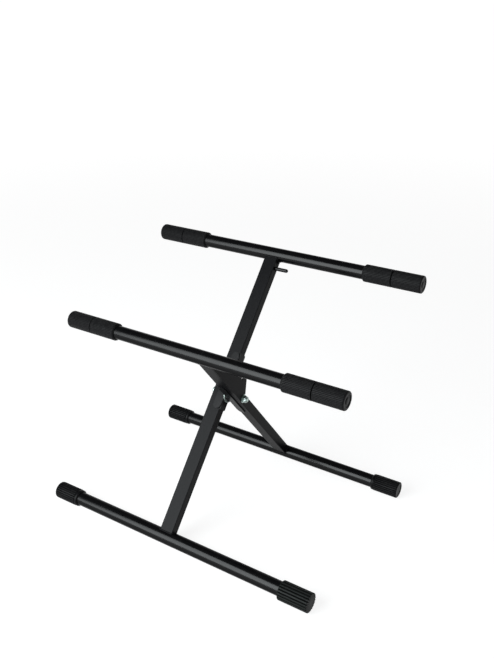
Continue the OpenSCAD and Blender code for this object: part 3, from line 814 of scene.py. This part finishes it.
class STAND_OT_rubber(bpy.types.Operator):
    """Grows the ribbed foot caps, grips and the levelling cap"""
    bl_idname = "stand.rubber"
    bl_label = "Ribbed rubber"

    def execute(self, context):
        look = settings()[1]
        ribbed_rubber_tree()
        for node, tube in (("front_left_foot_cap", "front_foot_tube"),
                           ("rear_left_foot_cap", "rear_foot_tube"),
                           ("rear_right_foot_cap", "rear_foot_tube")):
            length, radius = length_along(node), half_depth(node)
            opening = collar_end(radius, look.open_chamfer, look.foot_depth, look.collar_width,
                                 look.collar_groove, look.collar_depth)
            face = recess(length, look.recess_radius, look.foot_recess)
            section = closed_section(length, radius, bore_of(tube), look.end_wall, opening, look.end_round,
                                     face, look.foot_recess)
            rubber_piece(node, tube, section, look.foot_ribs, look.foot_depth, "foot_rubber",
                         FOOT_FLANK_SHARE)
        for bar in ("backrest", "support"):
            tube = "backrest_tube" if bar == "backrest" else "support_bar_tube"
            for side in ("left", "right"):
                cap, sleeve = f"{bar}_{side}_cap", f"{bar}_{side}_sleeve"
                length, radius = length_along(cap), half_depth(cap)
                face = (recess(length, look.recess_radius, look.recess_depth)
                        + boss(length, look.boss_radius, look.recess_depth))
                section = closed_section(length, radius, bore_of(tube), look.end_wall,
                                         open_end(radius, look.seam_chamfer), look.end_round, face)
                rubber_piece(cap, tube, section, look.grip_ribs, look.grip_depth, "grip_rubber",
                             GRIP_FLANK_SHARE)
                section = sleeve_section(length_along(sleeve), half_depth(sleeve), bore_of(tube),
                                         look.open_chamfer, look.seam_chamfer)
                rubber_piece(sleeve, tube, section, look.grip_ribs, look.grip_depth, "grip_rubber",
                             GRIP_FLANK_SHARE)
        node, tube = "levelling_cap", "front_foot_tube"
        offset, radius = middle(node) - middle(tube), half_depth(node)
        section = closed_section(length_along(node), radius, bore_of(tube), look.level_wall,
                                 open_end(radius, look.level_chamfer), look.level_chamfer, fade=0.0)
        rubber_piece(node, tube, section, look.level_ribs, look.level_depth, "levelling_rubber",
                     FOOT_FLANK_SHARE, throw=(0.0, offset.y, offset.z))
        return {"FINISHED"}


class STAND_OT_pivot(bpy.types.Operator):
    """Plates the bolt, washers and nut, and cuts the bolt's thread"""
    bl_idname = "stand.pivot"
    bl_label = "Pivot bolt"

    def execute(self, context):
        steel = settings()[2]
        for node in ("head_washer", "centre_washer", "nut_washer", "lock_nut", "pivot_bolt"):
            softened(node, TURNED_ROUND, "bright_zinc")
        paint(frame["nodes"]["nut_insert"], "natural_nylon")
        paint(frame["nodes"]["pivot_spacer"], "black_nylon")
        screw_thread_tree()
        tip, nut_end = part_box("pivot_bolt")[1].x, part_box("lock_nut")[1].x
        mesh = bpy.data.meshes.new("thread")
        mesh.from_pydata([(0, 0, 0)], [], [])
        thread = grow("bolt_thread", mesh, "screw_thread", "bright_zinc", Radius=steel.thread_radius,
                      Pitch=steel.thread_pitch, Length=tip - nut_end - THREAD_SHORTER,
                      Ridge=steel.thread_ridge, Start=(nut_end + THREAD_START, PIVOT.y, PIVOT.z))
        tidy_normals(thread, 60)
        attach(thread, BODY_OF["pivot_bolt"])
        return {"FINISHED"}


class STAND_OT_welds(bpy.types.Operator):
    """Lays the weld beads of both frames"""
    bl_idname = "stand.welds"
    bl_label = "Weld beads"

    def execute(self, context):
        steel = settings()[2]
        weld_bead_tree()
        off = steel.bead_width * STAND_OFF_SHARE
        post_up = leg_direction("front_foot_tube", "backrest_tube")
        brace_up = leg_direction("rear_foot_tube", "support_bar_tube")
        chains = {
            "front_frame": [cope_seam("post", "front_foot_tube", post_up, off),
                            cope_seam("post", "backrest_tube", -post_up, off)],
            "rear_frame": [cope_seam("brace", "rear_foot_tube", brace_up, off),
                           cope_seam("brace", "support_bar_tube", -brace_up, off)],
        }
        for body, seams in chains.items():
            beads = grow(f"{body}_weld_beads", seams_mesh(body + "_seams", seams), "weld_bead",
                         "satin_black_coat", Width=steel.bead_width, Ripple_Pitch=steel.ripple_pitch,
                         Ripple_Share=steel.ripple_share)
            tidy_normals(beads, 80)
            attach(beads, body)
        return {"FINISHED"}


class STAND_OT_stage(bpy.types.Operator):
    """Sets up the floor, lamps and camera"""
    bl_idname = "stand.stage"
    bl_label = "Stage"

    def execute(self, context):
        look = settings()[3]
        scene = context.scene
        mesh = bpy.data.meshes.new("studio_floor")
        turns = [2 * math.pi * i / FLOOR_SIDES for i in range(FLOOR_SIDES)]
        mesh.from_pydata([(FLOOR_RADIUS * math.cos(turn), FLOOR_RADIUS * math.sin(turn), -FLOOR_DROP)
                          for turn in turns], [], [tuple(range(FLOOR_SIDES))])
        floor = new_object("studio_floor", mesh)
        tree, shader, place = blank_material("studio_floor")
        faint = add(tree, "ShaderNodeTexNoise", Vector=place, Scale=3.0, Detail=2.0)
        away = add(tree, "ShaderNodeVectorMath", {"operation": "LENGTH"}, i0=place).outputs["Value"]
        glow = calc(tree, "MULTIPLY_ADD", smooth_step(tree, away, NEAR_FLOOR, FAR_FLOOR),
                    look.far_glow - look.floor_glow, look.floor_glow)
        feed(tree, shader, Base_Color=tint(tree, faint.outputs["Fac"], look.floor_colour, 0.99, 1.0),
             Roughness=0.9, Specular_IOR_Level=0.1, Emission_Color=WHITE,
             Emission_Strength=calc(tree, "MULTIPLY", seen_or_mirrored(tree), glow))
        paint(floor, "studio_floor")

        for name, power, size, place in (("key_lamp", look.key_power, KEY_SIZE, KEY_PLACE),
                                         ("fill_lamp", look.fill_power, FILL_SIZE, FILL_PLACE)):
            lamp = bpy.data.lights.new(name, "AREA")
            lamp.color, lamp.energy, lamp.shape = look.lamp_colour, power, "RECTANGLE"
            lamp.size, lamp.size_y = size
            light = new_object(name, lamp)
            light.location = place
            light.rotation_euler = (LAMP_TARGET - Vector(place)).to_track_quat("-Z", "Y").to_euler()

        world = bpy.data.worlds.new("studio_room")
        scene.world = world
        world.use_nodes = True
        tree = world.node_tree
        tree.nodes.clear()
        coordinates = tree.nodes.new("ShaderNodeTexCoord").outputs
        way = add(tree, "ShaderNodeSeparateXYZ", Vector=coordinates["Generated"])
        walls = calc(tree, "SUBTRACT", 1.0, smooth_step(tree, way.outputs["Z"], 0.36, 0.56))
        walls = calc(tree, "MULTIPLY", walls, seen_or_mirrored(tree))
        strength = calc(tree, "MULTIPLY_ADD", walls, 1.0 - look.room_light, look.room_light)
        sky = add(tree, "ShaderNodeBackground", Color=WHITE, Strength=strength)
        tree.links.new(sky.outputs[0], tree.nodes.new("ShaderNodeOutputWorld").inputs["Surface"])

        azimuth, elevation, roll = look.camera_turn
        camera = bpy.data.cameras.new("photo_camera")
        camera.lens, camera.sensor_width = look.focal_length, 36.0
        eye = new_object("photo_camera", camera)
        flat = math.cos(elevation)
        ahead = Vector((-math.sin(azimuth) * flat, math.cos(azimuth) * flat, -math.sin(elevation)))
        right = ahead.cross(Vector((0, 0, 1))).normalized()
        up = right.cross(ahead)
        right, up = (right * math.cos(roll) + up * math.sin(roll),
                     up * math.cos(roll) - right * math.sin(roll))
        turn = Matrix((right, up, -ahead)).transposed().to_4x4()
        eye.matrix_world = Matrix.Translation(Vector(look.camera_place)) @ turn
        scene.camera = eye
        scene.view_settings.view_transform = "Standard"
        return {"FINISHED"}


class STAND_PT_panel(bpy.types.Panel):
    """Lists the stand's steps and sizes"""
    bl_idname = "STAND_PT_panel"
    bl_label = "Amplifier stand"
    bl_space_type = "VIEW_3D"
    bl_region_type = "UI"
    bl_category = "Amp stand"

    def draw(self, context):
        for step in STEPS:
            self.layout.operator(step.bl_idname)
        for look in settings():
            box = self.layout.box()
            for name in look.bl_rna.properties.keys():
                if name not in ("rna_type", "name"):
                    box.prop(look, name)


STEPS = (STAND_OT_finishes, STAND_OT_tubes, STAND_OT_plates, STAND_OT_rubber, STAND_OT_pivot,
         STAND_OT_welds, STAND_OT_stage)
LOOKS = {"stand_finish": StandFinish, "stand_rubber": StandRubber, "stand_steel": StandSteel,
         "stand_stage": StandStage}
CLASSES = (*LOOKS.values(), *STEPS, STAND_PT_panel)


def register():
    """Registers the classes and the four groups of properties."""
    for cls in CLASSES:
        bpy.utils.register_class(cls)
    for name, look in LOOKS.items():
        setattr(bpy.types.Scene, name, bpy.props.PointerProperty(type=look))


def unregister():
    """Takes them away again."""
    for name in LOOKS:
        delattr(bpy.types.Scene, name)
    for cls in reversed(CLASSES):
        bpy.utils.unregister_class(cls)


def main():
    """Builds the looks in order."""
    register()
    bpy.ops.stand.finishes()
    bpy.ops.stand.tubes()
    bpy.ops.stand.plates()
    bpy.ops.stand.rubber()
    bpy.ops.stand.pivot()
    bpy.ops.stand.welds()
    bpy.ops.stand.stage()
    bpy.context.view_layer.update()


if __name__ == "__main__":
    main()
